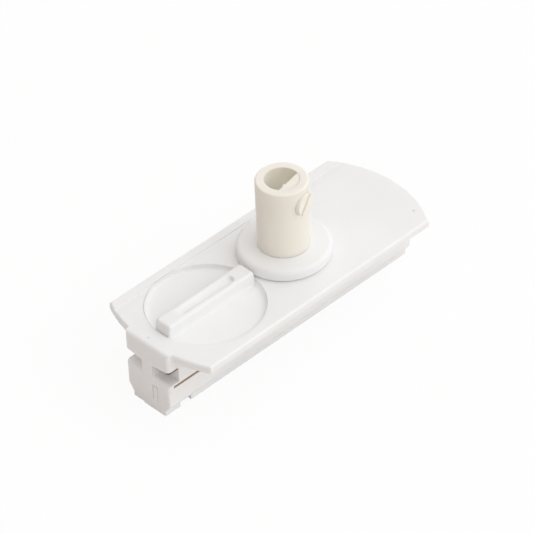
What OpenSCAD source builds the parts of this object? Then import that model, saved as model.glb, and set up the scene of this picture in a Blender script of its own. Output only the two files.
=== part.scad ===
// Single-circuit track adapter for a pendant, standing on the foot of its track body.
// Origin: bottom centre. +X runs from the lock knob to the far end, +Z points out of the cover plate.
// All sizes in millimetres.

/* [Cover plate] */
// Width of the cover plate
plate_w = 35.6; // [34:0.1:40]
// Straight length of the plate's long edges
plate_side = 76.3; // [75:0.1:90]
// Bulge of the plate's end beside the knob
near_bow = 4.7; // [4:0.1:5.2]
// Bulge of the plate's far end
far_bow = 5.6; // [5:0.1:8]
// Thickness of the plate
plate_t = 2; // [1.8:0.1:2.6]
// Rounding of the plate's top edges
plate_round = 0.6; // [0.3:0.1:0.9]
// Width of the polarity strip along one long edge
strip_w = 2.7; // [2:0.1:3.2]
// Depth of the ramp that sets off the polarity strip
ramp_depth = 0.25; // [0.15:0.05:0.5]
// Width of that ramp
ramp_w = 2.4; // [1.5:0.1:4]
// Radius of the two gate marks
gate_r = 0.55; // [0.4:0.05:0.8]
// Depth of the gate marks
gate_depth = 0.2; // [0.1:0.05:0.4]
// Distance of the near gate mark from the plate's end
gate_near = 1.7; // [1.4:0.1:2.4]
// Distance of the near gate mark from the centre line
gate_shift = 1.2; // [0:0.1:2]
// Distance of the far gate mark from the plate's far tip
gate_far = 5.8; // [4.5:0.1:8]
// Distance of the far gate mark from the plate's long edge
gate_side = 5.3; // [3.5:0.1:6]

/* [Track body] */
// Width of the body above its waist
body_w = 15.2; // [15:0.1:16.4]
// Height of the body from its foot to the underside of the plate
body_h = 18.1; // [17.8:0.1:20]
// Wall of the body
wall = 1.4; // [1.2:0.05:1.45]
// Thickness of the deck under the plate
deck_t = 2; // [1.6:0.1:2.4]
// Height of the waist
waist_z = 7.9; // [6.5:0.1:9]
// How much narrower each side is under the waist
waist_step = 0.3; // [0.1:0.05:0.35]
// Width of the foot
foot_w = 11.4; // [10.8:0.1:12.4]
// Height of the sloped flanks over the foot
flare_h = 2.2; // [1.8:0.1:2.8]
// How far the body stops short of the plate's far tip
far_gap = 1.6; // [0.5:0.1:2]

/* [End block] */
// How far the end block stands out past the plate's bow
head_proud = 0.7; // [0.4:0.05:1]
// Rounding of the end block's top edge
head_round = 1; // [0.5:0.1:1.2]
// Rounding of the end block's upright corners
corner_round = 1; // [0.4:0.1:1.2]
// Rounding of the steps under the side notches
step_round = 1.2; // [0.8:0.1:1.5]
// How far the face beside the neck is set back on the polarity strip's side
face_set = 0.25; // [0.15:0.05:0.5]
// Solid length of the body at the knob end
end_l = 8.2; // [7.8:0.1:8.6]
// Reach of the two side notches from the end face
notch_l = 3.4; // [2.5:0.1:4.5]
// Height of a notch at the side of the body
notch_h = 4.5; // [3.5:0.1:5]
// How much a notch narrows at its top towards the neck
notch_taper = 0.9; // [0.3:0.1:1.4]
// Height of the block under the notches
block_h = 10.45; // [10.3:0.05:11]
// Width of the neck between the notches
neck_w = 3.7; // [3:0.1:5]
// Distance of the pry notch from the end face
pry_x = 5; // [4:0.1:6]
// Length of the pry notch, in front of the base cover
pry_l = 3.6; // [2.5:0.1:4]
// Width of the latch tongue on the end face
tongue_w = 1.3; // [1:0.1:1.8]
// Height of the latch tongue
tongue_h = 4.4; // [3:0.1:4.6]
// Slot that frees the tongue
tongue_slot = 0.3; // [0.2:0.1:0.5]
// Depth of that slot
tongue_depth = 0.3; // [0.2:0.1:0.6]
// Middle of the tongue, to the side of the body's centre line
tongue_y = -2.4; // [-3:0.1:-1.6]
// Foot of the tongue above the base
tongue_z = 3.2; // [2.6:0.1:3.6]

/* [Earth slit] */
// Distance of the earth slit from the end face
slit_x = 1.6; // [1.3:0.1:2]
// Length of the earth slit
slit_l = 8.7; // [8.5:0.1:9]
// Height of the earth slit
slit_h = 0.8; // [0.75:0.05:1]
// Depth of the slit's middle below the top of the plate
slit_drop = 10.6; // [10.4:0.05:10.8]
// Depth of the slit from the side of the body
slit_depth = 2.8; // [2.6:0.1:3]

/* [Lock knob] */
// Distance of the knob's axis from the plate's end
knob_back = 20.2; // [20:0.1:20.8]
// Diameter of the knob
knob_d = 30.2; // [29:0.1:31]
// Gap around the knob
knob_gap = 0.1; // [0.09:0.01:0.3]
// How far the knob's rim is sunk below the top of the plate
knob_sink = 0.3; // [0.2:0.05:0.5]
// Depth of the dish below the top of the plate
dish_depth = 0.95; // [0.7:0.05:1.05]
// Width of the sloped wall of the dish
dish_slope = 1.2; // [0.8:0.1:2]
// Width of the flat rim around the dish
rim_w = 0.25; // [0.2:0.05:0.6]
// Bevel on the outer edge of the rim
rim_bevel = 0.5; // [0.3:0.05:0.7]
// Length of the grip bar
bar_l = 28.6; // [26:0.1:28.8]
// Width of the grip bar
bar_w = 5.2; // [4.5:0.1:6]
// Height of the grip bar above the plate
bar_h = 2.9; // [1.5:0.1:3.4]
// Rounding of the grip bar's long top edges
bar_round = 0.7; // [0.3:0.1:1]
// Rounding of the grip bar's ends and upright corners
bar_soft = 0.5; // [0.3:0.1:0.8]
// Fillet between the grip bar and the dish
bar_foot = 0.6; // [0.4:0.1:0.8]
// Width of the tapered slot in the bar
slot_w = 2.1; // [1.6:0.1:2.4]
// Length of the tapered slot
slot_l = 19; // [14:0.5:20]
// Middle of the slot from the knob's axis
slot_x = 0.1; // [0:0.1:2]
// Depth of the slot at its deep end
slot_deep = 1.2; // [0.8:0.1:1.6]
// Depth of the slot at its shallow end
slot_shallow = 0.4; // [0.1:0.1:0.6]
// Diameter of the knob's hub
hub_d = 10; // [9.6:0.1:10.2]
// Side of the square stub under the hub
stub_w = 5.8; // [5.4:0.1:6]

/* [Lock rotor] */
// Reach of the wings and blades from the knob's axis
rotor_reach = 10.5; // [10.2:0.1:10.7]
// Width of the wings and arms
arm_w = 5.6; // [5:0.1:6]
// Thickness of the lock wings
wing_t = 2.4; // [2:0.1:2.6]
// Thickness of the contact arms
arm_t = 2; // [1.8:0.1:2.4]
// How far the blades stand out past the arms
blade_proud = 0.9; // [0.6:0.1:1.5]
// Diameter of the rotor's core and of its detent hub
core_d = 9.6; // [9.4:0.1:10]
// Height of the detent hub under the arms
detent_h = 3.6; // [3.4:0.1:3.8]
// Diameter of the rotor's neck between the wipers
waist_d = 6.4; // [6:0.1:7]
// Depth of the contact blades below the top of the plate
contact_drop = 8.7; // [8.65:0.05:8.9]
// Thickness of the contact blades
blade_t = 1; // [0.8:0.1:1.2]
// Width of the contact blades
blade_w = 4.4; // [3.6:0.1:5]
// Distance of a blade's rivet peg from the knob's axis
peg_x = 7.4; // [7.2:0.1:8]
// Diameter of the rivet pegs
peg_d = 1.5; // [1.2:0.1:1.8]
// Diameter of the rotor screw
axle_d = 2.9; // [2.5:0.1:3]
// Diameter of the rotor screw's head
axle_head_d = 5.2; // [4.8:0.1:5.6]
// Height of the rotor screw's head
axle_head_h = 1.5; // [1.2:0.1:1.7]
// Length of the detent leaf
leaf_l = 14; // [12:0.5:16]
// Thickness of the detent leaf
leaf_t = 0.4; // [0.3:0.05:0.5]
// Height of the detent leaf
leaf_h = 2.2; // [1.8:0.1:2.4]
// Radius of the detent's nose
nose_r = 0.75; // [0.6:0.05:0.8]

/* [Collar and cord grip] */
// Distance of the cord grip's axis from the knob's axis
grip_pitch = 27.4; // [27.3:0.1:30]
// Diameter of the collar
collar_d = 24.2; // [22:0.1:24.4]
// Thickness of the collar
collar_t = 3.4; // [3:0.1:4]
// Rounding of the collar's top edge
collar_round = 1.2; // [0.5:0.1:1.5]
// Rounding of the collar's lower edge
collar_under = 1.1; // [0.6:0.1:1.8]
// Diameter of the cord grip
grip_d = 13.4; // [13:0.1:15]
// Height of the cord grip above the collar
grip_h = 19.8; // [18:0.1:26]
// Rounding of the cord grip's rim
grip_round = 0.45; // [0.2:0.05:0.7]
// Angle that the cord grip is screwed round to
grip_turn = 10.5; // [0:0.5:30]
// Diameter of the cord pocket
pocket_d = 8.9; // [8.4:0.1:9.4]
// Depth of the cord pocket
pocket_depth = 11; // [10:0.1:13]
// Diameter of the cord passage under the pocket
passage_d = 7.2; // [6:0.1:7.6]
// Diameter of the threaded spigot
spigot_d = 10; // [9.6:0.1:10.4]
// Diameter of the ring nut
nut_d = 12; // [11.6:0.1:12.1]
// Thickness of the ring nut
nut_t = 2.6; // [2:0.1:3]
// Width of the spanner slots in the nut
nut_slot = 1.6; // [1:0.1:2]

/* [Cord clamp] */
// Distance of the clamp's flat from the axis of the cord grip
clamp_flat = 1.9; // [1.6:0.05:2.1]
// Height of the gripping ribs on the flat
rib_h = 0.35; // [0.2:0.05:0.5]
// Pitch of the gripping ribs
rib_pitch = 2.2; // [1.8:0.1:3]
// Distance of the nub on the clamp's top edge from the middle of the flat
nub_x = 1.8; // [1.2:0.1:2.2]
// Diameter of the clamp screw
screw_d = 6; // [5.4:0.1:6.2]
// Length of the clamp screw
screw_l = 4.5; // [4.2:0.1:4.6]
// How far the screw stands out of the tube
screw_proud = 0.4; // [0.3:0.05:1]
// Distance of the screw's axis from the rim
screw_drop = 5; // [4.5:0.1:6]
// Width of the screwdriver slot
driver_w = 1; // [0.8:0.1:1.2]
// Depth of the screwdriver slot
driver_depth = 1.1; // [0.8:0.1:1.4]
// Tilt of the screwdriver slot from upright
driver_tilt = 40; // [0:5:90]

/* [Terminals and strips] */
// Thickness of the copper strips
strip_t = 0.65; // [0.5:0.05:0.7]
// Width of the copper strips
copper_w = 1.8; // [1.6:0.05:1.9]
// Distance of the live and neutral terminals from the cord grip's axis
terminal_x = 15; // [12:0.1:16]
// Pitch from those terminals to the earth terminal
earth_pitch = 11; // [10:0.1:12]
// Length of a terminal
terminal_l = 5; // [4.5:0.1:5.4]
// Width of the earth terminal
terminal_w = 5; // [4.4:0.05:5.1]
// Height of a terminal
terminal_h = 6; // [5.5:0.1:6.4]
// Diameter of the wire holes
wire_d = 2.6; // [2:0.1:3]
// Diameter of the terminal screws
grub_d = 3; // [2.5:0.1:3.2]
// Length of the terminal screws
grub_l = 2.8; // [2.4:0.1:3]
// How far the terminal screws stand out
grub_proud = 0.7; // [0.5:0.05:0.75]
// Thickness of the rib between the terminals
rib_t = 1; // [0.8:0.05:1.1]

/* [Base cover] */
// Thickness of the base cover, and height of the foot
cover_t = 1.4; // [1.2:0.1:1.6]
// Height of the locating lips on the cover
lip_h = 0.8; // [0.6:0.05:1]
// Thickness of the lips
lip_t = 0.7; // [0.5:0.05:0.9]
// Diameter of the base screws
bolt_d = 2.4; // [2:0.1:2.6]
// Length of the base screws
bolt_l = 9; // [7:0.1:11]
// Diameter of the base screws' heads
head_d = 4.6; // [4.2:0.1:4.8]
// Height of the countersunk heads
head_h = 1.1; // [0.9:0.05:1.15]
// Diameter of the screw bosses
boss_d = 5; // [4.6:0.1:5.1]
// Distance of the front boss from the knob's axis
boss_x = 14; // [13.6:0.1:15]

/* [Fits] */
// Running clearance around turning hubs and screws
run_gap = 0.05; // [0.03:0.01:0.08]
// Clearance between neighbouring pieces
free_gap = 0.2; // [0.15:0.01:0.24]
// Clearance over and under the turning rotor
swing_gap = 0.3; // [0.25:0.01:0.35]

/* [Hidden] */
$fn = 64;
cut = 1;                       // how far a cutting solid runs past the face that it opens
white = [0.93, 0.92, 0.91];
ivory = [0.93, 0.89, 0.80];
copper = [0.72, 0.45, 0.30];
brass = [0.80, 0.68, 0.38];
steel = [0.72, 0.72, 0.74];

overall_l = near_bow + plate_side + far_bow;
near_x = -overall_l / 2;
far_x = overall_l / 2;
arc_x = near_x + head_proud;
arc_bow = near_bow - head_proud;
near_r = (plate_w * plate_w / 4 + arc_bow * arc_bow) / (2 * arc_bow);
far_r = (plate_w * plate_w / 4 + far_bow * far_bow) / (2 * far_bow);
top_z = body_h + plate_t;
deck_z = body_h - deck_t;
knob_x = near_x + knob_back;
grip_x = knob_x + grip_pitch;
body_far = far_x - far_gap;
cavity_near = near_x + end_l;
cavity_far = body_far - wall;
inner_half = body_w / 2 - wall;
cover_near = near_x + pry_x + pry_l;
front_boss = knob_x + boss_x;
far_boss = cavity_far + wall / 2 - boss_d / 2;

// Levels of the rotor, from the deck down
rotor_top = deck_z - free_gap;
wing_z = rotor_top - wing_t;
contact_z = top_z - contact_drop;
blade_z = contact_z - blade_t / 2;
arm_z = blade_z - arm_t;
detent_z = arm_z - detent_h;
slit_z = top_z - slit_drop;
wiper_z = blade_z + blade_t + swing_gap;
core_z = wiper_z + strip_t + swing_gap;
socket_z = core_z + swing_gap;
stub_z = socket_z + free_gap;

// Levels of the terminals and the earth strip
lip_z = cover_t + lip_h;
earth_top = lip_z + strip_t;
flank_slope = (body_w / 2 - waist_step - foot_w / 2) / flare_h;
run_out = free_gap + wall - foot_w / 2 - flank_slope * lip_h;
run_in = run_out + copper_w;
terminal_top = wiper_z;
terminal_z = terminal_top - terminal_h;
pair_x = grip_x + terminal_x;
earth_x = pair_x + earth_pitch;
pair_w = inner_half - waist_step - rib_t / 2 - 2 * free_gap;
terminal_y = rib_t / 2 + free_gap + pair_w / 2;
strip_far = pair_x + terminal_l / 2;

// Cord grip
seat_z = top_z + collar_t;
rim_z = seat_z + grip_h;
pocket_z = rim_z - pocket_depth;
spigot_z = deck_z - nut_t - free_gap;
clamp_r = pocket_d / 2 - run_gap;
clamp_z = pocket_z + free_gap;
clamp_top = rim_z - run_gap;
screw_z = rim_z - screw_drop;
screw_out = grip_d / 2 + screw_proud;
screw_tip = screw_out - screw_l;

// Section of the plate or a bar: a rectangle with its two top corners rounded
module rounded_top(w, h, r) {
    translate([-w / 2, 0]) square([w, h - r]);
    translate([r - w / 2, 0]) square([w - 2 * r, h]);
    for (side = [-1, 1]) translate([side * (w / 2 - r), h - r]) circle(r);
}

// Disc with a rounded top edge
module rounded_disc(r, h, edge) {
    rotate_extrude($fn = 180) {
        square([r, h - edge]);
        square([r - edge, h]);
        translate([r - edge, h - edge]) circle(edge, $fn = 48);
    }
}

// A section in the YZ plane, drawn out along X from x0 to x1
module along_x(x0, x1) {
    translate([x0, 0, 0]) rotate([90, 0, 90]) linear_extrude(x1 - x0) children();
}

// A box from one corner to the opposite one
module block(low, high) {
    translate(low) cube(high - low);
}

// Plate with two bowed ends
module plate() {
    side = 2 * plate_w;
    translate([0, 0, body_h]) intersection() {
        along_x(near_x - cut, far_x + cut) rounded_top(plate_w, plate_t, plate_round);
        union() {
            translate([arc_x + near_r, 0, 0]) rounded_disc(near_r, plate_t, plate_round);
            block([arc_x + near_r, -side, 0], [far_x + 2 * cut, side, plate_t]);
        }
        union() {
            translate([far_x - far_r, 0, 0]) rounded_disc(far_r, plate_t, plate_round);
            block([near_x - 2 * cut, -side, 0], [far_x - far_r, side, plate_t]);
        }
    }
}

// Half of the body's outer section, with the wall taken off where inset is set
module body_half(inset, low, high) {
    flare_z = cover_t + flare_h;
    polygon([
        [0, low], [foot_w / 2 - inset, low], [foot_w / 2 - inset, cover_t],
        [body_w / 2 - waist_step - inset, flare_z], [body_w / 2 - waist_step - inset, waist_z],
        [body_w / 2 - inset, waist_z], [body_w / 2 - inset, high], [0, high]
    ]);
}

module body_section(inset, low, high) {
    body_half(inset, low, high);
    mirror([1, 0]) body_half(inset, low, high);
}

// Solid track body, its front rising to the plate's top with rounded edges
module body_solid() {
    front = near_x + end_l;
    intersection() {
        along_x(near_x, front) body_section(0, 0, top_z);
        rotate([90, 0, 0]) linear_extrude(2 * body_w, center = true) {
            translate([near_x, 0]) square([end_l, top_z - head_round]);
            translate([near_x + head_round, 0]) square([end_l - head_round, top_z]);
            translate([near_x + head_round, top_z - head_round]) circle(head_round);
        }
        linear_extrude(top_z) {
            translate([near_x, corner_round - body_w / 2]) square([end_l, body_w - 2 * corner_round]);
            translate([near_x + corner_round, -body_w / 2]) square([end_l - corner_round, body_w]);
            for (side = [-1, 1]) translate([near_x + corner_round, side * (body_w / 2 - corner_round)])
                circle(corner_round);
        }
    }
    along_x(front, body_far) body_section(0, 0, body_h + plate_t / 2);
}

// Rounding along the top of the step under a side notch, at the end face
module step_edge() {
    translate([0, body_w + neck_w / 2, 0]) rotate([90, 0, 0]) linear_extrude(body_w) difference() {
        translate([near_x - cut, block_h - step_round]) square([step_round + cut, step_round + cut]);
        translate([near_x + step_round, block_h - step_round]) circle(step_round);
    }
}

// Inside of the body, open towards the foot
module body_cavity() {
    along_x(cavity_near, cavity_far) body_section(wall, cover_t - cut, deck_z);
}

// Notch on one side of the neck, at the knob end
module side_notch() {
    along_x(near_x - cut, near_x + notch_l) polygon([
        [neck_w / 2, block_h], [body_w / 2 + cut, block_h],
        [body_w / 2 + cut, block_h + notch_h], [neck_w / 2, block_h + notch_h - notch_taper]
    ]);
}

// Window in one side wall, that the rotor swings out through
module swing_window(low, high) {
    side = rotor_reach - swing_gap;
    lead = sqrt(side * side - inner_half * inner_half) + 2 * swing_gap;
    translate([knob_x, 0, 0])
        block([-lead, -body_w, low - swing_gap], [arm_w / 2 + 2 * swing_gap, -inner_half + swing_gap, high]);
}

// Slot around three sides of the latch tongue
module tongue_cut() {
    half = tongue_w / 2;
    translate([0, tongue_y, tongue_z]) along_x(near_x - cut, near_x + tongue_depth) difference() {
        translate([-half - tongue_slot, 0]) square([tongue_w + 2 * tongue_slot, tongue_h + tongue_slot]);
        translate([-half, -cut]) square([tongue_w, tongue_h + cut]);
    }
}

// Ramp that sets off the polarity strip
module strip_ramp() {
    edge = plate_w / 2 - strip_w;
    along_x(near_x - cut, far_x + cut) polygon([
        [edge, top_z + cut], [edge, top_z - ramp_depth], [edge - ramp_w, top_z], [edge - ramp_w, top_z + cut]
    ]);
}

// Small round gate marks left by moulding
module gate_marks() {
    near_mark = [near_x + gate_near, gate_shift];
    far_mark = [far_x - gate_far, gate_side - plate_w / 2];
    for (spot = [near_mark, far_mark])
        translate([spot.x, spot.y, top_z - gate_depth]) cylinder(r = gate_r, h = gate_depth + cut);
}

// Cover plate and track body in one moulding
module adapter_housing() {
    color(white) difference() {
        union() {
            difference() {
                union() {
                    plate();
                    body_solid();
                }
                body_cavity();
            }
            for (x = [front_boss, far_boss])
                translate([x, 0, cover_t]) cylinder(d = boss_d, h = body_h - cover_t);
            block([pair_x - terminal_l / 2, -rib_t / 2, terminal_z],
                  [pair_x + terminal_l / 2, rib_t / 2, body_h]);
        }
        block([near_x + pry_x, -body_w, -cut], [cover_near, body_w, cover_t]);
        block([cover_near, -body_w, -cut], [far_x, body_w, cover_t]);
        translate([knob_x, 0, body_h]) cylinder(r = knob_d / 2 + knob_gap, h = plate_t + cut, $fn = 180);
        translate([knob_x, 0, 0]) cylinder(r = hub_d / 2 + run_gap, h = top_z);
        translate([grip_x, 0, deck_z - cut])
            cylinder(r = spigot_d / 2 + run_gap, h = deck_t + plate_t + 2 * cut);
        for (x = [front_boss, far_boss])
            translate([x, 0, 0]) cylinder(r = bolt_d / 2 + run_gap, h = bolt_l + cut);
        for (turn = [0, 180]) translate([knob_x, 0, 0]) rotate(turn) translate([-knob_x, 0, 0]) {
            swing_window(arm_z, wiper_z);
            swing_window(wing_z, deck_z);
        }
        for (side = [0, 1]) mirror([0, side, 0]) {
            side_notch();
            step_edge();
        }
        block([near_x - cut, neck_w / 2, -cut], [near_x + face_set, body_w, block_h]);
        block([near_x + slit_x, -body_w, slit_z - slit_h / 2],
              [near_x + slit_x + slit_l, slit_depth - body_w / 2, slit_z + slit_h / 2]);
        tongue_cut();
        strip_ramp();
        gate_marks();
    }
}

// Countersunk screw seen from its head, pointing up
module base_screw(gap) {
    cylinder(r1 = head_d / 2 + gap, r2 = bolt_d / 2 + gap, h = head_h);
    cylinder(r = bolt_d / 2 + gap, h = bolt_l);
}

// Lid under the track body
module base_cover() {
    lip_y = foot_w / 2 - wall - free_gap - lip_t;
    color(white) difference() {
        union() {
            block([cover_near, -foot_w / 2, 0], [body_far, foot_w / 2, cover_t]);
            for (side = [0, 1]) mirror([0, side, 0])
                block([cavity_near + free_gap, lip_y, cover_t],
                      [cavity_far - free_gap, lip_y + lip_t, lip_z]);
        }
        for (x = [front_boss, far_boss]) translate([x, 0, 0]) {
            base_screw(run_gap);
            translate([0, 0, -cut]) cylinder(r = head_d / 2 + run_gap, h = cut);
        }
    }
}

// The two screws that hold the base cover
module base_screws() {
    color(steel) for (x = [front_boss, far_boss]) translate([x, 0, 0]) difference() {
        base_screw(0);
        for (turn = [0, 90]) rotate(turn)
            block([-head_d / 4, -driver_w / 4, -cut], [head_d / 4, driver_w / 4, head_h / 2]);
    }
}

// Slot in the grip bar: round-ended, with a sloping floor
module bar_slot() {
    bar_top = top_z + bar_h;
    low_end = slot_x - slot_l / 2;
    high_end = slot_x + slot_l / 2;
    intersection() {
        union() {
            block([low_end + slot_w / 2, -slot_w / 2, body_h],
                  [high_end - slot_w / 2, slot_w / 2, bar_top + cut]);
            for (x = [low_end + slot_w / 2, high_end - slot_w / 2])
                translate([x, 0, body_h]) cylinder(d = slot_w, h = bar_top + cut - body_h);
        }
        rotate([90, 0, 0]) linear_extrude(slot_w + cut, center = true) polygon([
            [low_end, bar_top - slot_shallow], [high_end, bar_top - slot_deep],
            [high_end, bar_top + cut], [low_end, bar_top + cut]
        ]);
    }
}

// Plan of the grip bar, with its corners rounded
module bar_plan() {
    square([bar_l - 2 * bar_soft, bar_w], center = true);
    square([bar_l, bar_w - 2 * bar_soft], center = true);
    for (x = [-1, 1], y = [-1, 1])
        translate([x * (bar_l / 2 - bar_soft), y * (bar_w / 2 - bar_soft)]) circle(bar_soft);
}

// Grip bar from the given level up, soft on all its edges, with a fillet along both sides
module grip_bar(low, floor_z) {
    height = top_z + bar_h - low;
    spread = bar_w / 2 + bar_foot;
    foot_l = bar_l / 2 - 2 * bar_soft;
    dip = bar_foot / 12;       // keeps the fillet from meeting the dish at a tangent
    translate([0, 0, low]) intersection() {
        along_x(-bar_l / 2, bar_l / 2) rounded_top(bar_w, height, bar_round);
        rotate([90, 0, 0]) linear_extrude(2 * bar_w, center = true) rounded_top(bar_l, height, bar_soft);
        linear_extrude(height) bar_plan();
    }
    translate([0, 0, low]) along_x(-foot_l, foot_l) difference() {
        translate([-spread, 0]) square([2 * spread, floor_z - low + bar_foot - dip]);
        for (side = [-1, 1]) translate([side * spread, floor_z - low + bar_foot - dip]) circle(bar_foot);
    }
}

// Rotary knob, a little sunk in the plate, with a grip bar, a hub and a square stub for the rotor
module lock_knob() {
    disc_z = body_h + free_gap / 2;
    dish_z = top_z - dish_depth;
    rim_r = knob_d / 2;
    crest_r = rim_r - rim_bevel - rim_w;
    rim_top = top_z - knob_sink;
    color(white) translate([knob_x, 0, 0]) difference() {
        union() {
            rotate_extrude($fn = 180) polygon([
                [0, disc_z], [rim_r, disc_z], [rim_r, rim_top - rim_bevel], [rim_r - rim_bevel, rim_top],
                [crest_r, rim_top], [crest_r - dish_slope, dish_z], [0, dish_z]
            ]);
            grip_bar(disc_z, dish_z);
            translate([0, 0, rotor_top]) cylinder(d = hub_d, h = disc_z - rotor_top + plate_t / 4);
            block([-stub_w / 2, -stub_w / 2, stub_z], [stub_w / 2, stub_w / 2, rotor_top + free_gap]);
        }
        bar_slot();
        translate([0, 0, stub_z - cut]) cylinder(r = axle_d / 2 + run_gap, h = rotor_top - stub_z + cut);
    }
}

// A bar across the knob's axis with both ends rounded to the given reach
module swing_bar(reach, w, low, high) {
    intersection() {
        translate([0, 0, low]) cylinder(r = reach, h = high - low, $fn = 120);
        block([-reach, -w / 2, low], [reach, w / 2, high]);
    }
}

// Rotor on the knob's stub: lock wings on top, contact arms below
module lock_rotor() {
    socket_w = stub_w + 2 * run_gap;
    color(white) translate([knob_x, 0, 0]) difference() {
        union() {
            translate([0, 0, core_z]) cylinder(d = core_d, h = rotor_top - core_z);
            swing_bar(rotor_reach, arm_w, wing_z, rotor_top);
            translate([0, 0, detent_z]) cylinder(d = waist_d, h = core_z - detent_z);
            translate([0, 0, detent_z]) cylinder(d = core_d, h = arm_z - detent_z);
            swing_bar(rotor_reach - blade_proud, arm_w, arm_z, blade_z);
            for (side = [-1, 1]) translate([side * peg_x, 0, arm_z])
                cylinder(d = peg_d, h = arm_t + blade_t + swing_gap / 2);
        }
        block([-socket_w / 2, -socket_w / 2, socket_z], [socket_w / 2, socket_w / 2, rotor_top + cut]);
        translate([0, 0, detent_z - cut]) cylinder(r = axle_d / 2 + run_gap, h = rotor_top - detent_z + cut);
        for (turn = [0, 90, 180, 270]) rotate(turn)
            translate([0, core_d / 2 + nose_r / 2, detent_z - cut]) cylinder(r = nose_r, h = detent_h);
    }
}

// Screw that holds the rotor to the knob, driven from below
module rotor_screw() {
    bolt_top = rotor_top - free_gap;
    color(steel) translate([knob_x, 0, 0]) difference() {
        union() {
            translate([0, 0, detent_z - axle_head_h]) cylinder(d = axle_head_d, h = axle_head_h);
            translate([0, 0, detent_z - free_gap]) cylinder(d = axle_d, h = bolt_top - detent_z + free_gap);
        }
        for (turn = [0, 90]) rotate(turn) translate([0, 0, detent_z - axle_head_h])
            block([-axle_head_d / 3, -driver_w / 4, -cut],
                  [axle_head_d / 3, driver_w / 4, driver_depth / 2]);
    }
}

// Copper blade on one arm of the rotor, with a round contact tip
module contact_blade() {
    difference() {
        intersection() {
            swing_bar(rotor_reach, blade_w, blade_z, blade_z + blade_t);
            block([-rotor_reach, -blade_w, blade_z], [0, blade_w, blade_z + blade_t]);
        }
        translate([0, 0, blade_z - cut]) cylinder(r = waist_d / 2 + free_gap, h = blade_t + 2 * cut);
        translate([-peg_x, 0, blade_z - cut]) cylinder(r = peg_d / 2 + run_gap, h = blade_t + 2 * cut);
    }
}

module live_contact() {
    color(copper) translate([knob_x, 0, 0]) contact_blade();
}

module neutral_contact() {
    color(copper) translate([knob_x, 0, 0]) rotate(180) contact_blade();
}

// Leaf on the side wall whose nose drops into the rotor's dimples
module detent_spring() {
    leaf_back = inner_half - waist_step;
    nose_y = core_d / 2 + free_gap - run_gap + nose_r;
    color(steel) translate([knob_x, 0, detent_z + free_gap]) intersection() {
        union() {
            block([-leaf_l / 2, leaf_back - leaf_t, 0], [leaf_l / 2, leaf_back, leaf_h]);
            translate([0, nose_y, 0]) cylinder(r = nose_r, h = leaf_h);
        }
        block([-leaf_l, 0, 0], [leaf_l, leaf_back, leaf_h]);
    }
}

// Strip along one wall: a wiper over the blade's sweep, then a run to the terminal
module contact_strip() {
    outer = inner_half - free_gap;
    wiper_in = waist_d / 2 + 2 * swing_gap;
    intersection() {
        translate([knob_x, 0, wiper_z]) difference() {
            cylinder(r = outer, h = strip_t);
            translate([0, 0, -cut]) cylinder(r = wiper_in, h = strip_t + 2 * cut);
        }
        block([knob_x - outer, -outer, wiper_z], [knob_x, 0, wiper_z + strip_t]);
    }
    block([knob_x, -outer, wiper_z], [strip_far, copper_w - outer, wiper_z + strip_t]);
}

module live_strip() {
    color(copper) contact_strip();
}

// The neutral wiper covers the opposite quadrant, and its run starts past the wiper
module neutral_strip() {
    outer = inner_half - free_gap;
    wiper_in = waist_d / 2 + 2 * swing_gap;
    color(copper) {
        intersection() {
            translate([knob_x, 0, wiper_z]) difference() {
                cylinder(r = outer, h = strip_t);
                translate([0, 0, -cut]) cylinder(r = wiper_in, h = strip_t + 2 * cut);
            }
            block([knob_x, 0, wiper_z], [knob_x + outer, outer, wiper_z + strip_t]);
        }
        block([knob_x, outer - copper_w, wiper_z], [strip_far, outer, wiper_z + strip_t]);
    }
}

// Earth leaf in the side slit, its riser and its run along the base cover to the earth terminal
module earth_contact() {
    leaf_z = slit_z - strip_t / 2;
    leaf_top = leaf_z + strip_t;
    leaf_near = near_x + slit_x + swing_gap;
    leaf_far = near_x + slit_x + slit_l - swing_gap;
    leaf_out = swing_gap - body_w / 2;
    leaf_in = slit_depth - free_gap - body_w / 2;
    riser_x = cavity_near + free_gap;
    tab_near = earth_x - terminal_l / 2;
    tab_far = earth_x + terminal_l / 2;
    color(copper) difference() {
        union() {
            block([leaf_near, leaf_out, leaf_z], [leaf_far, leaf_in, leaf_top]);
            block([riser_x, leaf_out, leaf_z], [riser_x + strip_t, run_in, leaf_top]);
            block([riser_x, run_out, lip_z], [riser_x + strip_t, run_in, leaf_top]);
            block([riser_x, run_out, lip_z], [tab_far, run_in, earth_top]);
            block([tab_near, run_out, lip_z], [tab_far, terminal_w / 2, earth_top]);
        }
        translate([earth_x, 0, 0]) cylinder(r = grub_d / 2 + swing_gap, h = body_h);
    }
}

// Brass block with a wire hole along X and a screw hole from below
module terminal(low, w) {
    wire_z = terminal_h - wire_d / 2 - wire_d / 4;
    translate([0, 0, low]) difference() {
        block([-terminal_l / 2, -w / 2, 0], [terminal_l / 2, w / 2, terminal_h]);
        translate([-terminal_l, 0, wire_z]) rotate([0, 90, 0]) cylinder(d = wire_d, h = 2 * terminal_l);
        translate([0, 0, -cut]) cylinder(r = grub_d / 2 + run_gap, h = wire_z + cut);
    }
}

module live_terminal() {
    color(brass) translate([pair_x, -terminal_y, 0]) terminal(terminal_z, pair_w);
}

module neutral_terminal() {
    color(brass) translate([pair_x, terminal_y, 0]) terminal(terminal_z, pair_w);
}

module earth_terminal() {
    color(brass) translate([earth_x, 0, 0]) terminal(earth_top, terminal_w);
}

// One slotted grub screw per terminal
module terminal_screws() {
    spots = [
        [pair_x, -terminal_y, terminal_z], [pair_x, terminal_y, terminal_z], [earth_x, 0, earth_top]
    ];
    color(steel) for (spot = spots) translate([spot.x, spot.y, spot.z - grub_proud]) difference() {
        cylinder(d = grub_d, h = grub_l);
        block([-grub_d, -driver_w / 4, -cut], [grub_d, driver_w / 4, grub_proud]);
    }
}

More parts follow.
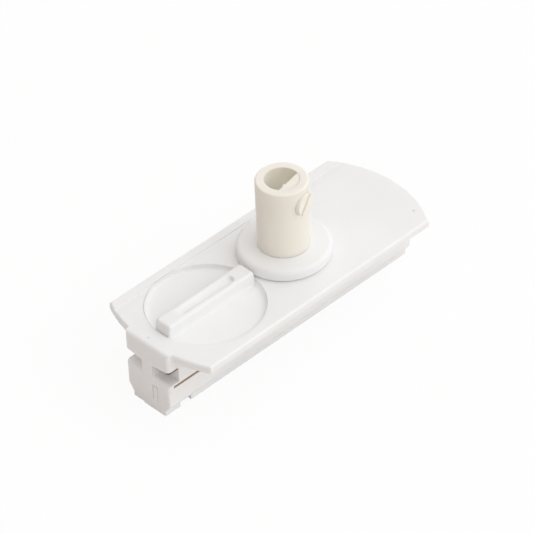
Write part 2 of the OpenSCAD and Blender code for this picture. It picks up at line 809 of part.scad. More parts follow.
// Seat ring between the plate and the cord grip, rounded above and below
module collar() {
    rim_r = collar_d / 2;
    color(white) translate([grip_x, 0, top_z]) difference() {
        rotate_extrude($fn = 180) {
            translate([0, collar_under]) square([rim_r, collar_t - collar_under - collar_round]);
            translate([0, collar_under]) square([rim_r - collar_round, collar_t - collar_under]);
            square([rim_r - collar_under, collar_t - collar_round]);
            translate([rim_r - collar_round, collar_t - collar_round]) circle(collar_round, $fn = 48);
            translate([rim_r - collar_under, collar_under]) circle(collar_under, $fn = 48);
        }
        translate([0, 0, -cut]) cylinder(r = spigot_d / 2 + run_gap, h = collar_t + 2 * cut);
    }
}

// Puts a piece on the cord grip's axis, turned as the grip is screwed in
module at_grip() {
    translate([grip_x, 0, 0]) rotate(grip_turn) children();
}

// Tube with a cord pocket on top, a passage through it and a threaded spigot under it
module cord_grip() {
    color(ivory) at_grip() difference() {
        union() {
            translate([0, 0, seat_z]) rounded_disc(grip_d / 2, grip_h, grip_round);
            translate([0, 0, spigot_z]) cylinder(d = spigot_d, h = seat_z - spigot_z + cut);
        }
        translate([0, 0, pocket_z]) cylinder(d = pocket_d, h = pocket_depth + cut);
        translate([0, 0, spigot_z - cut]) cylinder(d = passage_d, h = pocket_z - spigot_z + 2 * cut);
        translate([0, 0, screw_z]) rotate([90, 0, 0]) cylinder(r = screw_d / 2 + run_gap, h = grip_d);
    }
}

// Ring nut on the spigot, with four spanner slots
module grip_nut() {
    color(white) translate([grip_x, 0, deck_z - nut_t]) difference() {
        cylinder(d = nut_d, h = nut_t);
        translate([0, 0, -cut]) cylinder(r = spigot_d / 2 + run_gap, h = nut_t + 2 * cut);
        for (turn = [0, 90]) rotate(turn)
            block([-nut_d, -nut_slot / 2, -cut], [nut_d, nut_slot / 2, nut_t / 2]);
    }
}

// D-shaped jaw with gripping ribs on its flat and a seat for the screw's tip
module cord_clamp() {
    height = clamp_top - clamp_z;
    ribs = floor(height / rib_pitch);
    half_chord = sqrt(clamp_r * clamp_r - clamp_flat * clamp_flat) - 2 * rib_h;
    seat_gap = free_gap / 2;
    color(ivory) at_grip() difference() {
        union() {
            intersection() {
                translate([0, 0, clamp_z]) cylinder(r = clamp_r, h = height);
                block([-clamp_r, -clamp_r, clamp_z], [clamp_r, -clamp_flat, clamp_top]);
            }
            for (i = [0 : ribs - 1]) translate([0, -clamp_flat, clamp_z + rib_pitch * (i + 0.5)])
                rotate([0, 90, 0]) cylinder(r = rib_h, h = 2 * half_chord, center = true, $fn = 24);
            block([-nub_x - rib_h, -clamp_flat - rib_h, clamp_top - 2 * rib_h],
                  [rib_h - nub_x, rib_h - clamp_flat, clamp_top]);
        }
        translate([0, -screw_tip + seat_gap, screw_z]) rotate([90, 0, 0])
            cylinder(r = screw_d / 2 + seat_gap, h = grip_d);
    }
}

// Slotted plastic screw that presses the clamp on the cord
module clamp_screw() {
    color(ivory) at_grip() translate([0, 0, screw_z]) rotate([90, 0, 0]) difference() {
        translate([0, 0, screw_tip]) cylinder(d = screw_d, h = screw_l);
        translate([0, 0, screw_out - driver_depth]) rotate(-driver_tilt)
            block([-driver_w / 2, -screw_d, 0], [driver_w / 2, screw_d, driver_depth + cut]);
    }
}

adapter_housing();
base_cover();
base_screws();
lock_knob();
lock_rotor();
rotor_screw();
live_contact();
neutral_contact();
detent_spring();
live_strip();
neutral_strip();
earth_contact();
live_terminal();
neutral_terminal();
earth_terminal();
terminal_screws();
collar();
cord_grip();
grip_nut();
cord_clamp();
clamp_screw();
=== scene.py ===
"""A white track adapter with an ivory cord grip: its finishes, stage and camera.

Two forms are made here as well: the knob's soft top, and the end of the copper leaf that
shows in the notch under the head.
"""

import math

import bmesh
import bpy
from bpy.props import FloatProperty, FloatVectorProperty, PointerProperty
from mathutils import Matrix, Vector


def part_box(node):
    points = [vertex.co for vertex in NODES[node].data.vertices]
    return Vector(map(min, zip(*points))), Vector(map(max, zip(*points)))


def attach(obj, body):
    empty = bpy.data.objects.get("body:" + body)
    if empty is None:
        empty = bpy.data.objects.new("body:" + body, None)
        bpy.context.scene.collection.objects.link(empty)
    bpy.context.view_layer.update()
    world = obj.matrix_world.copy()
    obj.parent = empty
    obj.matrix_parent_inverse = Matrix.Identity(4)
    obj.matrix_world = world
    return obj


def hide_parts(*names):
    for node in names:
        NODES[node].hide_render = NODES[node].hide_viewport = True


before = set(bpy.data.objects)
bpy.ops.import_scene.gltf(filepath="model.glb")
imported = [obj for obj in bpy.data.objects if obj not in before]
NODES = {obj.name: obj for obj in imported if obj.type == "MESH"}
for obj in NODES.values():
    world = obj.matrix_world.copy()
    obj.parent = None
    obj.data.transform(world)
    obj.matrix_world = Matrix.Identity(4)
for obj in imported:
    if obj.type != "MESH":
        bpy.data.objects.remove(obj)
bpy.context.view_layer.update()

bl_info = {
    "name": "Track adapter finishes",
    "version": (1, 0, 0),
    "blender": (4, 5, 0),
    "location": "View3D > Sidebar > Adapter",
    "description": "Moulded, stamped and plated finishes for a track adapter, with its stage",
    "category": "Object",
}

MM = 0.001

# Steps of the two forms that are made here.
BOWL_STEPS = 180  # round the bowl
WALL_STEPS = 10  # down the bowl's wall
FLOOR_RINGS = 14  # from that wall to the middle
BAR_STEPS = 240  # along the bar
TOP_STEPS = 24  # across the bar's top
BAR_ROUND_STEPS = 6  # over each rounding of the bar
LEAF_ROUND_STEPS = 8  # over the leaf's corner

# Small sizes that keep those forms clean.
WELD = 0.001 * MM  # vertices of the solid that are this close are one
SLIVER = 0.006 * MM  # edges this short are left over from joining
DISC_EDGE = 0.1 * MM  # width of the disc's edge, where its underside is read
LEVEL_SLACK = 0.01 * MM  # slack in what counts as above that underside
HUB_LAP = 0.2 * MM  # how far the hub reaches up into the disc
BENT_FACE = math.radians(1)  # a face that bends more than this is split
SHARP_EDGE = math.radians(40)  # an edge that turns more than this stays sharp

# Shares in the knob's bar.
FOOT_LEAST = 0.1  # share of the foot's fillet that is left at the bar's ends
TROUGH_FADE = 9  # the trough comes to its depth in a ninth of its length

# Surface of the mouldings.
FLOW = 14 * MM  # spacing of the slow drift in tone
FLOW_SPAN = (0.3, 0.7)  # part of the noise that the drift is drawn from
FLOW_TONE = 0.97  # darkest tone of the drift
GRAIN_SATIN = 0.07  # how far the grain moves the roughness
GRAIN_BUMP = 0.12  # strength of the grain's relief
GRAIN_DEPTH = 0.02 * MM
SCATTER = (1.0, 0.93, 0.85)  # how deep red, green and blue light go, next to each other
HOLLOW_REACH = 8 * MM  # how far off the walls of a hollow still count
HOLLOW_SKY = (0.38, 0.52)  # open share of the view inside a hollow and outside it

# Surface of the metals.
PATCH = 5 * MM  # spacing of the dull patches
PATCH_SPAN = (0.35, 0.75)  # part of the noise that the patches are drawn from
PATCH_TONE = 0.78  # darkest tone of a patch
LINE_SATIN = (-0.1, 0.12)  # how far the lines move the roughness
LINE_BUMP = 0.2  # strength of the lines' relief
LINE_DEPTH = 0.01 * MM

# Rays for the rounding of edges and for the look into a hollow.
SHADER_SAMPLES = 8

# Studio, in metres where nothing else is said.
FLOOR_HALF = 3.0
FLOOR_DROP = 0.03 * MM
LAMP_SIZE = 0.7
LAMP_DISTANCE = 1.1
LAMP_SIDE = (0.1, -0.3, 0.2)  # direction that the lamp stands in
IMAGE_PX = 533  # width of the image in pixels
SENSOR_MM = 36  # width of the camera's sensor in millimetres
CLIP_START = 0.01


def linear(code):
    """An sRGB hex colour as linear RGBA."""
    values = [int(code[i : i + 2], 16) / 255 for i in (1, 3, 5)]
    curve = [v / 12.92 if v <= 0.04045 else ((v + 0.055) / 1.055) ** 2.4 for v in values]
    return (*curve, 1.0)


def tint(name, code, words):
    """A colour property with its default given as an sRGB hex value."""
    return FloatVectorProperty(
        name=name, description=words, subtype="COLOR", size=4, min=0, max=1, default=linear(code)
    )


def length(name, default_mm, words):
    """A length property with its default given in millimetres."""
    return FloatProperty(
        name=name, description=words, subtype="DISTANCE", unit="LENGTH", default=default_mm * MM
    )


def angle(name, degrees, words):
    """An angle property with its default given in degrees."""
    return FloatProperty(
        name=name,
        description=words,
        subtype="ANGLE",
        unit="ROTATION",
        default=math.radians(degrees),
    )


class AdapterFinishes(bpy.types.PropertyGroup):
    """Colours and surface sizes of the adapter's materials."""

    white: tint("White", "#F8F8F8", "Polycarbonate of the plate, body, knob and collar")
    inner_white: tint("Inner white", "#E6E4E0", "Polyester of the rotor and the ring nut")
    ivory: tint("Ivory", "#FAF4EA", "Nylon of the cord grip")
    # Painted light: lighter ivory inside the tube, standing in for light through its wall.
    hollow: tint("Hollow ivory", "#FFF9E4", "Nylon inside the cord grip, lit through its wall")
    jaw: tint("Jaw ivory", "#FCF5EA", "Acetal of the clamp and its screw")
    copper: tint("Copper", "#B98550", "Copper of the blades and strips")
    # Painted shade: real copper, made dark to stand for the shade in the notch under the head.
    notch_shade_copper: tint("Tarnish", "#6E5046", "Copper of the leaf's end, which the air has browned")
    brass: tint("Brass", "#CDB06C", "Brass of the terminals")
    steel: tint("Steel", "#BFC0C2", "Zinc plate on the screws and the leaf spring")
    grain: length("Moulded grain", 0.35, "Spacing of the fine grain that the mould leaves")
    edge: length("Edge rounding", 0.1, "Radius that the mould leaves on otherwise sharp edges")


class AdapterKnob(bpy.types.PropertyGroup):
    """Sizes of the knob's soft moulded top."""

    radius: length("Radius", 15.13, "Radius of the knob's rim")
    sink: length("Sink", 0.08, "Depth of the rim below the plate")
    rim: length("Rim", 0.2, "Width of the flat rim")
    bowl_depth: length("Bowl depth", 0.95, "Depth of the bowl below the plate, at its wall")
    bowl_run: length("Bowl run", 0.45, "Width of the curve between the rim and the bowl's floor")
    crown: length("Crown", 0.5, "Rise of the bowl's floor from its wall to its middle")
    bar_length: length("Bar length", 28.6, "Length of the grip bar")
    bar_width: length("Bar width", 5.2, "Width of the grip bar")
    bar_round: length("Bar rounding", 0.8, "Rounding along the bar's top edges")
    end_round: length("End rounding", 0.5, "Rounding of the bar's ends")
    end_lean: angle("End lean", 7, "Lean of the bar's ends, for the mould to open")
    foot: length("Foot", 1.0, "Fillet between the bar and the bowl")
    foot_end: length("Foot end", 2.5, "Length over which the fillet runs out at a bar's end")
    trough_length: length("Trough length", 19.0, "Length of the trough in the bar")
    trough_width: length("Trough width", 2.8, "Width of the trough")
    trough_deep: length("Trough depth", 1.2, "Depth of the trough at its deep end")
    trough_shallow: length("Trough start", 0.45, "Depth of the trough at its shallow end")


class AdapterLeaf(bpy.types.PropertyGroup):
    """Sizes of the copper leaf's end that shows in the notch under the head."""

    notch_length: length("Notch length", 3.4, "Length of the notch along the body")
    notch_roof: length("Notch roof", 14.95, "Level of the notch's roof at the side of the body")
    notch_fall: length("Roof fall", 0.9, "Fall of that roof to the neck")
    side: length("Side", 7.6, "Distance of the body's side from its middle")
    neck: length("Neck", 1.85, "Distance of the neck's side from its middle")
    inner: length("Inner edge", 2.7, "Distance of the leaf's inner edge from the middle")
    gap: length("Gap", 0.35, "Gap between the roof and the leaf")
    thickness: length("Thickness", 0.2, "Thickness of the leaf")
    lip: length("Lip", 0.5, "Height of the lip that is turned down along its edge")
    inset: length("Inset", 0.35, "Distance of the leaf's edges from the outside")
    corner: length("Corner", 0.8, "Rounding of its corner")
    bite: length("Bite", 0.3, "How deep the leaf goes into the wall that holds it")


class AdapterStage(bpy.types.PropertyGroup):
    """Camera and light of the studio."""

    azimuth: angle("Azimuth", -43.37, "Direction that the camera stands in, 0 looks along +Y")
    elevation: angle("Elevation", 39.99, "Height of the camera over the horizon")
    roll: angle("Roll", -2.37, "Turn of the camera about its own axis")
    distance: length("Distance", 940, "Distance from the camera to the point that it looks at")
    focal_px: FloatProperty(
        name="Focal length", description="Focal length in pixels of the image", default=3801.07
    )
    target: FloatVectorProperty(
        name="Target",
        description="Point in the middle of the image",
        subtype="XYZ",
        unit="LENGTH",
        default=(-2.79 * MM, -0.82 * MM, 20.1 * MM),
    )
    backdrop: tint("Backdrop", "#FFFFFF", "Colour of the floor and of what is behind it")
    paper: tint("Paper", "#ECE8E4", "Tone of the light that the floor throws back on the object")
    shade: FloatProperty(
        name="Shade", description="Share of the floor that the object can shade", default=0.1
    )
    sky: FloatProperty(
        name="Fill", description="Strength of the light from all round", default=0.53
    )
    lean: FloatVectorProperty(
        name="Lean",
        description="How much stronger that light is along each axis",
        subtype="XYZ",
        default=(0.38, -0.33, 0.6),
    )
    near_tint: tint("Near tint", "#FFE7D5", "Colour of that light on its weak side")
    far_tint: tint("Far tint", "#FAFDFF", "Colour of that light on its strong side")
    key: FloatProperty(
        name="Key", description="Power of the large soft lamp, in watts", default=0.8
    )
    key_tint: tint("Key tint", "#F8FBFF", "Colour of the soft lamp")


def add(tree, kind, inputs=None, **settings):
    """Adds one shader node; inputs maps a socket's name or number to a value or an output."""
    node = tree.nodes.new(kind)
    for key, value in settings.items():
        setattr(node, key, value)
    for key, value in (inputs or {}).items():
        if isinstance(value, bpy.types.NodeSocket):
            tree.links.new(value, node.inputs[key])
        else:
            node.inputs[key].default_value = value
    return node


def new_material(name):
    """An empty node material, and its tree."""
    material = bpy.data.materials.new(name)
    material.use_nodes = True
    material.node_tree.nodes.clear()
    return material, material.node_tree


def close(tree, shader):
    """Links a shader to the material's output."""
    add(tree, "ShaderNodeOutputMaterial", {"Surface": shader.outputs[0]})


def moulded_plastic(look, name, colour, ior, roughness, glow, depth, through=0.0):
    """Injection-moulded plastic: satin grain, slow drift of tone, soft edges, light inside it."""
    material, tree = new_material(name)
    place = add(tree, "ShaderNodeTexCoord").outputs["Object"]
    # Grain of a spark-eroded mould. The real one is finer, and this is as coarse as it
    # needs to be to show.
    fine = add(
        tree, "ShaderNodeTexNoise", {"Vector": place, "Scale": 1 / look.grain, "Detail": 3.0}
    )
    # Flow and sink of the plastic in the mould.
    slow = add(tree, "ShaderNodeTexNoise", {"Vector": place, "Scale": 1 / FLOW, "Detail": 2.0})
    drift = add(
        tree,
        "ShaderNodeMapRange",
        {
            "Value": slow.outputs["Fac"],
            "From Min": FLOW_SPAN[0],
            "From Max": FLOW_SPAN[1],
            "To Min": FLOW_TONE,
            "To Max": 1.0,
        },
    )
    tone = add(
        tree,
        "ShaderNodeMix",
        {"Factor": 1.0, "A": colour, "B": drift.outputs["Result"]},
        data_type="RGBA",
        blend_type="MULTIPLY",
    )
    satin = add(
        tree,
        "ShaderNodeMapRange",
        {
            "Value": fine.outputs["Fac"],
            "To Min": roughness - GRAIN_SATIN,
            "To Max": roughness + GRAIN_SATIN,
        },
    )
    soft = add(tree, "ShaderNodeBevel", {"Radius": look.edge}, samples=SHADER_SAMPLES)
    bump = add(
        tree,
        "ShaderNodeBump",
        {
            "Height": fine.outputs["Fac"],
            "Strength": GRAIN_BUMP,
            "Distance": GRAIN_DEPTH,
            "Normal": soft.outputs["Normal"],
        },
    )
    shader = add(
        tree,
        "ShaderNodeBsdfPrincipled",
        {
            "Base Color": tone.outputs["Result"],
            "Roughness": satin.outputs["Result"],
            "IOR": ior,
            "Subsurface Weight": glow,
            "Subsurface Radius": SCATTER,
            "Subsurface Scale": depth,
            "Normal": bump.outputs["Normal"],
        },
    )
    if through:
        # A thin wall that faces a hollow takes its light from the other side, so light goes deeper
        # into it.
        # There its colour is painted lighter, as painted light for light going to and fro inside.
        occlusion = add(
            tree,
            "ShaderNodeAmbientOcclusion",
            {"Distance": HOLLOW_REACH},
            samples=SHADER_SAMPLES,
        )
        sky = {
            "Value": occlusion.outputs["AO"],
            "From Min": HOLLOW_SKY[0],
            "From Max": HOLLOW_SKY[1],
        }
        for socket, inside, outside in (
            ("Subsurface Weight", 1.0, glow),
            ("Subsurface Scale", through, depth),
        ):
            share = add(tree, "ShaderNodeMapRange", {**sky, "To Min": inside, "To Max": outside})
            tree.links.new(share.outputs["Result"], shader.inputs[socket])
        open_share = add(tree, "ShaderNodeMapRange", sky)
        painted_hollow_light = add(
            tree,
            "ShaderNodeMix",
            {"Factor": open_share.outputs["Result"], "A": look.hollow, "B": tone.outputs["Result"]},
            data_type="RGBA",
        )
        tree.links.new(painted_hollow_light.outputs["Result"], shader.inputs["Base Color"])
    close(tree, shader)
    return material


def strip_metal(name, colour, roughness, pitch, stretch):
    """Rolled, sawn or plated metal: fine lines drawn along X, and dull patches."""
    material, tree = new_material(name)
    place = add(tree, "ShaderNodeTexCoord").outputs["Object"]
    drawn = add(tree, "ShaderNodeMapping", {"Vector": place, "Scale": (1 / stretch, 1, 1)})
    # The real lines are finer, and these are as coarse as they need to be to show.
    lines = add(
        tree,
        "ShaderNodeTexNoise",
        {"Vector": drawn.outputs["Vector"], "Scale": 1 / pitch, "Detail": 4.0},
    )
    patches = add(tree, "ShaderNodeTexNoise", {"Vector": place, "Scale": 1 / PATCH, "Detail": 3.0})
    dull = add(
        tree,
        "ShaderNodeMapRange",
        {
            "Value": patches.outputs["Fac"],
            "From Min": PATCH_SPAN[0],
            "From Max": PATCH_SPAN[1],
            "To Min": 1.0,
            "To Max": PATCH_TONE,
        },
    )
    tone = add(
        tree,
        "ShaderNodeMix",
        {"Factor": 1.0, "A": colour, "B": dull.outputs["Result"]},
        data_type="RGBA",
        blend_type="MULTIPLY",
    )
    satin = add(
        tree,
        "ShaderNodeMapRange",
        {
            "Value": lines.outputs["Fac"],
            "To Min": roughness + LINE_SATIN[0],
            "To Max": roughness + LINE_SATIN[1],
        },
    )
    bump = add(
        tree,
        "ShaderNodeBump",
        {"Height": lines.outputs["Fac"], "Strength": LINE_BUMP, "Distance": LINE_DEPTH},
    )
    shader = add(
        tree,
        "ShaderNodeBsdfPrincipled",
        {
            "Base Color": tone.outputs["Result"],
            "Metallic": 1.0,
            "Roughness": satin.outputs["Result"],
            "Normal": bump.outputs["Normal"],
        },
    )
    close(tree, shader)
    return material


def dress(names, material):
    """Puts one material on the named CAD nodes."""
    for name in names:
        slots = NODES[name].material_slots
        for slot in slots:
            slot.material = material
        if not slots:
            NODES[name].data.materials.append(material)


def white_plastic(look):
    """The white of the plate, body, knob and collar, made once."""
    name = "moulded white polycarbonate"
    if name in bpy.data.materials:
        return bpy.data.materials[name]
    # A bright satin white with soft highlights, and edges that are never quite hard.
    return moulded_plastic(
        look, name, look.white, ior=1.585, roughness=0.42, glow=0.15, depth=0.8 * MM
    )


def arc(steps):
    """Even angles from nothing to a quarter turn."""
    return [math.pi / 2 * i / steps for i in range(steps + 1)]


def bridge(mesh, rings):
    """Faces between neighbouring closed rings; a ring of one vertex is a pole."""
    for low, high in zip(rings, rings[1:]):
        count = max(len(low), len(high))
        for i in range(count):
            j = (i + 1) % count
            lower = (low[i % len(low)], low[j % len(low)])
            upper = (high[j % len(high)], high[i % len(high)])
            mesh.faces.new(dict.fromkeys((*lower, *upper)))


def join_shells(context, name, shells):
    """One closed mesh from closed shells that overlap."""
    parts = []
    for shell in shells:
        bmesh.ops.recalc_face_normals(shell, faces=shell.faces)
        data = bpy.data.meshes.new(name)
        shell.to_mesh(data)
        shell.free()
        parts.append(bpy.data.objects.new(name, data))
        context.scene.collection.objects.link(parts[-1])
    for part in parts[1:]:
        union = parts[0].modifiers.new("union", "BOOLEAN")
        union.operation = "UNION"
        union.solver = "EXACT"
        union.object = part
    joined = parts[0].evaluated_get(context.evaluated_depsgraph_get())
    whole = bpy.data.meshes.new_from_object(joined)
    for part in parts:
        bpy.data.meshes.remove(part.data)
    whole.name = name
    if not whole.polygons:
        raise RuntimeError(f"{name} came out empty")
    # Slivers go, and a bent or concave face is split, so that no triangle folds over.
    mesh = bmesh.new()
    mesh.from_mesh(whole)
    bmesh.ops.remove_doubles(mesh, verts=mesh.verts, dist=SLIVER)
    bmesh.ops.dissolve_degenerate(mesh, edges=mesh.edges, dist=SLIVER)
    bmesh.ops.connect_verts_nonplanar(mesh, angle_limit=BENT_FACE, faces=mesh.faces)
    bmesh.ops.connect_verts_concave(mesh, faces=mesh.faces)
    mesh.to_mesh(whole)
    mesh.free()
    return whole


class ADAPTER_OT_knob(bpy.types.Operator):
    """Knob with a soft bowl and a grip bar that has a trough, on the hub and stub of its solid"""

    bl_idname = "adapter.knob"
    bl_label = "Lock knob"

    def execute(self, context):
        size = context.scene.adapter_knob
        low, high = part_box("lock_knob")
        self.axis = (low[0] + high[0]) / 2
        self.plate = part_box("adapter_housing")[1][2]
        self.top = high[2]
        hub, bowl, bar = bmesh.new(), bmesh.new(), bmesh.new()
        under = self.hub(hub)
        self.bowl(bowl, size, under)
        self.bar(bar, size, under)
        data = join_shells(context, "knob_top", (bowl, bar, hub))
        data.shade_smooth()
        data.set_sharp_from_angle(angle=SHARP_EDGE)
        data.materials.append(white_plastic(context.scene.adapter_finishes))
        knob = bpy.data.objects.new("knob_top", data)
        context.scene.collection.objects.link(knob)
        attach(knob, "knob")
        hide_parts("lock_knob")
        return {"FINISHED"}

    def hub(self, mesh):
        """Takes over the hub and the square stub, and gives the level of the disc's underside."""
        mesh.from_mesh(NODES["lock_knob"].data)
        bmesh.ops.remove_doubles(mesh, verts=mesh.verts, dist=WELD)
        inside = max(v.co.y for v in mesh.verts) - DISC_EDGE
        outer = [v for v in mesh.verts if math.hypot(v.co.x - self.axis, v.co.y) > inside]
        under = min(v.co.z for v in outer)
        above = [f for f in mesh.faces if f.calc_center_median().z > under - LEVEL_SLACK]
        bmesh.ops.delete(mesh, geom=above, context="FACES")
        rim = [e for e in mesh.edges if e.is_boundary]
        for vert in {v for e in rim for v in e.verts}:
            vert.co.z = under + HUB_LAP
        bmesh.ops.holes_fill(mesh, edges=rim)
        return under

    def bowl(self, mesh, size, under):
        """A revolved disc whose rim falls in a curve to a crowned floor."""
        rim_z = self.plate - size.sink
        crest = size.radius - size.rim
        fall = size.bowl_depth - size.sink
        curve = [
            (crest - size.bowl_run * (1 - math.cos(a)), rim_z - fall * math.sin(a))
            for a in arc(WALL_STEPS)
        ]
        base = curve[-1][0]
        inward = [base * (1 - i / FLOOR_RINGS) for i in range(1, FLOOR_RINGS + 1)]
        floor = [(radius, self.floor_level(size, radius)) for radius in inward]
        profile = [(0, under), (size.radius, under), (size.radius, rim_z), *curve, *floor]
        # Half a step on, so that no edge of the disc runs along the bar's middle.
        turns = [2 * math.pi * (i + 0.5) / BOWL_STEPS for i in range(BOWL_STEPS)]
        rings = []
        for radius, height in profile:
            places = [
                (self.axis + radius * math.cos(turn), radius * math.sin(turn), height)
                for turn in (turns if radius else turns[:1])
            ]
            rings.append([mesh.verts.new(place) for place in places])
        bridge(mesh, rings)

    def floor_level(self, size, radius):
        """Level of the bowl's floor at a distance from the knob's axis."""
        base = size.radius - size.rim - size.bowl_run
        return self.plate - size.bowl_depth + size.crown * (1 - min(radius / base, 1.0) ** 2)

    def bar(self, mesh, size, under):
        """A lofted bar, round on all its edges, with a fillet at its foot."""
        flat = size.bar_length / 2 - size.end_round
        ends = [
            (flat + size.end_round * math.sin(a), size.end_round * (1 - math.cos(a)))
            for a in arc(BAR_ROUND_STEPS)
        ]
        middle = [(flat * (2 * i / BAR_STEPS - 1), 0.0) for i in range(1, BAR_STEPS)]
        stations = [(-x, inset) for x, inset in reversed(ends)] + middle + ends
        rings = [
            [
                mesh.verts.new((self.axis + x + self.lean(size, x, z), y, z))
                for y, z in self.section(size, under, x, inset)
            ]
            for x, inset in stations
        ]
        bridge(mesh, rings)
        mesh.faces.new(rings[0])
        mesh.faces.new(rings[-1])

    def from_end(self, size, x):
        """Distance from the nearer end of the bar, as a share of the length of the foot's end."""
        return (size.bar_length / 2 - abs(x)) / size.foot_end

    def lean(self, size, x, z):
        """Shift of a point along the bar, which lets its ends lean back."""
        share = max(1 - self.from_end(size, x), 0.0)
        return math.copysign(share * math.tan(size.end_lean) * (self.top - z), x)

    def section(self, size, under, x, inset):
        """One closed section of the bar, from its left foot over the top to its right foot."""
        wide = size.bar_width / 2 - inset
        top = self.top - inset
        spread = size.foot * min(max(self.from_end(size, x), FOOT_LEAST), 1.0)
        floor = self.floor_level(size, math.hypot(x, wide + spread))
        turns = arc(BAR_ROUND_STEPS)
        foot = [
            (wide + spread * (1 - math.sin(a)), floor + spread * (1 - math.cos(a))) for a in turns
        ]
        edge = [
            (wide - size.bar_round * (1 - math.cos(a)), top - size.bar_round * (1 - math.sin(a)))
            for a in turns
        ]
        half = [(wide + spread, (under + floor) / 2), *foot, *edge]
        flat = wide - size.bar_round
        across = [flat * (2 * i / TOP_STEPS - 1) for i in range(1, TOP_STEPS)]
        crown = [(y, top - self.trough(size, x, y)) for y in across]
        return [(-y, z) for y, z in half] + crown + half[::-1]

    def trough(self, size, x, y):
        """Depth of the trough, which deepens along the bar and stops at a round end."""
        along = x / size.trough_length + 0.5
        left = size.trough_length / 2 - x
        if along <= 0 or left <= 0:
            return 0.0
        reach = size.trough_width / 2
        nose = min(left / reach, 1.0)
        spread = abs(y) / (reach * math.sqrt(nose * (2 - nose)))
        if spread >= 1:
            return 0.0
        fade = min(along * TROUGH_FADE, 1.0)
        depth = size.trough_shallow + (size.trough_deep - size.trough_shallow) * along
        # Nearly flat in the middle, with round sides that run out level.
        return fade * depth * (1 - spread**4) ** 2


class ADAPTER_OT_white_mouldings(bpy.types.Operator):
    """Satin white polycarbonate for the plate and body, the base cover, the knob and the collar"""

    bl_idname = "adapter.white_mouldings"
    bl_label = "White mouldings"

    def execute(self, context):
        white = white_plastic(context.scene.adapter_finishes)
        dress(["adapter_housing", "base_cover", "lock_knob", "collar"], white)
        return {"FINISHED"}


class ADAPTER_OT_rotor(bpy.types.Operator):
    """White polyester for the rotor and the ring nut inside"""

    bl_idname = "adapter.rotor"
    bl_label = "Rotor and ring nut"

    def execute(self, context):
        look = context.scene.adapter_finishes
        # A duller and slightly greyer white than the outside.
        inner = moulded_plastic(
            look,
            "moulded white polyester",
            look.inner_white,
            ior=1.57,
            roughness=0.5,
            glow=0.1,
            depth=0.5 * MM,
        )
        dress(["lock_rotor", "grip_nut"], inner)
        return {"FINISHED"}


class ADAPTER_OT_cord_grip(bpy.types.Operator):
    """Ivory nylon for the cord grip, ivory acetal for its clamp and screw"""

    bl_idname = "adapter.cord_grip"
    bl_label = "Cord grip"

    def execute(self, context):
        look = context.scene.adapter_finishes
        # A waxy ivory, painted lighter inside the tube: painted light for light through its wall.
        nylon = moulded_plastic(
            look,
            "moulded ivory nylon",
            look.ivory,
            ior=1.53,
            roughness=0.45,
            glow=0.4,
            depth=1 * MM,
            through=10 * MM,
        )
        dress(["cord_grip"], nylon)
        # An ivory that is a little smoother than the nylon, with a milky depth.
        acetal = moulded_plastic(
            look,
            "moulded ivory acetal",
            look.jaw,
            ior=1.48,
            roughness=0.4,
            glow=0.4,
            depth=1 * MM,
        )
        dress(["cord_clamp", "clamp_screw"], acetal)
        return {"FINISHED"}


class ADAPTER_OT_contacts(bpy.types.Operator):
    """Stamped copper for the blades and strips, a leaf's end darkened with painted shade, brass for
    the terminals
    """

    bl_idname = "adapter.contacts"
    bl_label = "Contacts and terminals"

    def execute(self, context):
        look = context.scene.adapter_finishes
        # A warm, soft shine with long fine lines from the rolls.
        copper = strip_metal(
            "stamped rolled copper", look.copper, roughness=0.34, pitch=0.12 * MM, stretch=30
        )
        dress(
            ["live_contact", "neutral_contact", "live_strip", "neutral_strip", "earth_contact"],
            copper,
        )
        # The same strip, duller, and darkened as painted shade for the notch that it sits in.
        darkened = strip_metal(
            "tarnished rolled copper", look.notch_shade_copper, roughness=0.45, pitch=0.12 * MM, stretch=30
        )
        self.leaf_end(context, darkened)
        # A yellow shine with the shorter and coarser lines of the saw.
        brass = strip_metal(
            "sawn drilled brass", look.brass, roughness=0.38, pitch=0.2 * MM, stretch=6
        )
        dress(["live_terminal", "neutral_terminal", "earth_terminal"], brass)
        return {"FINISHED"}

    def leaf_end(self, context, copper):
        """The leaf's end under the notch's roof, with a lip turned down along the side."""
        size = context.scene.adapter_leaf
        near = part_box("adapter_housing")[0][0]
        tip = near + size.inset
        root = near + size.notch_length + size.bite
        turn = [
            (tip + size.corner * (1 - math.cos(a)), size.corner * (1 - math.sin(a)))
            for a in arc(LEAF_ROUND_STEPS)
        ]
        mesh = bmesh.new()
        rings = [
            [mesh.verts.new((x, y, z)) for y, z in self.leaf_section(size, size.inset + inset)]
            for x, inset in [*turn, (root, 0.0)]
        ]
        bridge(mesh, rings)
        mesh.faces.new(rings[0])
        mesh.faces.new(rings[-1])
        bmesh.ops.recalc_face_normals(mesh, faces=mesh.faces)
        data = bpy.data.meshes.new("earth_leaf_end")
        mesh.to_mesh(data)
        mesh.free()
        data.materials.append(copper)
        leaf = bpy.data.objects.new("earth_leaf_end", data)
        context.scene.collection.objects.link(leaf)
        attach(leaf, "housing")

    def leaf_section(self, size, inset):
        """One section of the leaf's end, from its inner edge out to its lip and back."""
        fall = size.notch_fall / (size.side - size.neck)
        inner = size.inner
        out = size.side - inset
        lip = out - size.thickness

        def top(y):
            """Level of the leaf's upper face at a distance from the middle."""
            return size.notch_roof - size.gap - fall * (size.side - y)

        return [
            (-inner, top(inner)),
            (-out, top(out)),
            (-out, top(out) - size.lip),
            (-lip, top(out) - size.lip),
            (-lip, top(lip) - size.thickness),
            (-inner, top(inner) - size.thickness),
        ]


class ADAPTER_OT_fasteners(bpy.types.Operator):
    """Zinc-plated steel for the screws and the leaf spring"""

    bl_idname = "adapter.fasteners"
    bl_label = "Screws and leaf spring"

    def execute(self, context):
        look = context.scene.adapter_finishes
        # A cool grey shine, a little cloudy from the plating.
        zinc = strip_metal(
            "zinc-plated steel", look.steel, roughness=0.36, pitch=0.25 * MM, stretch=2
        )
        dress(["base_screws", "rotor_screw", "terminal_screws", "detent_spring"], zinc)
        return {"FINISHED"}


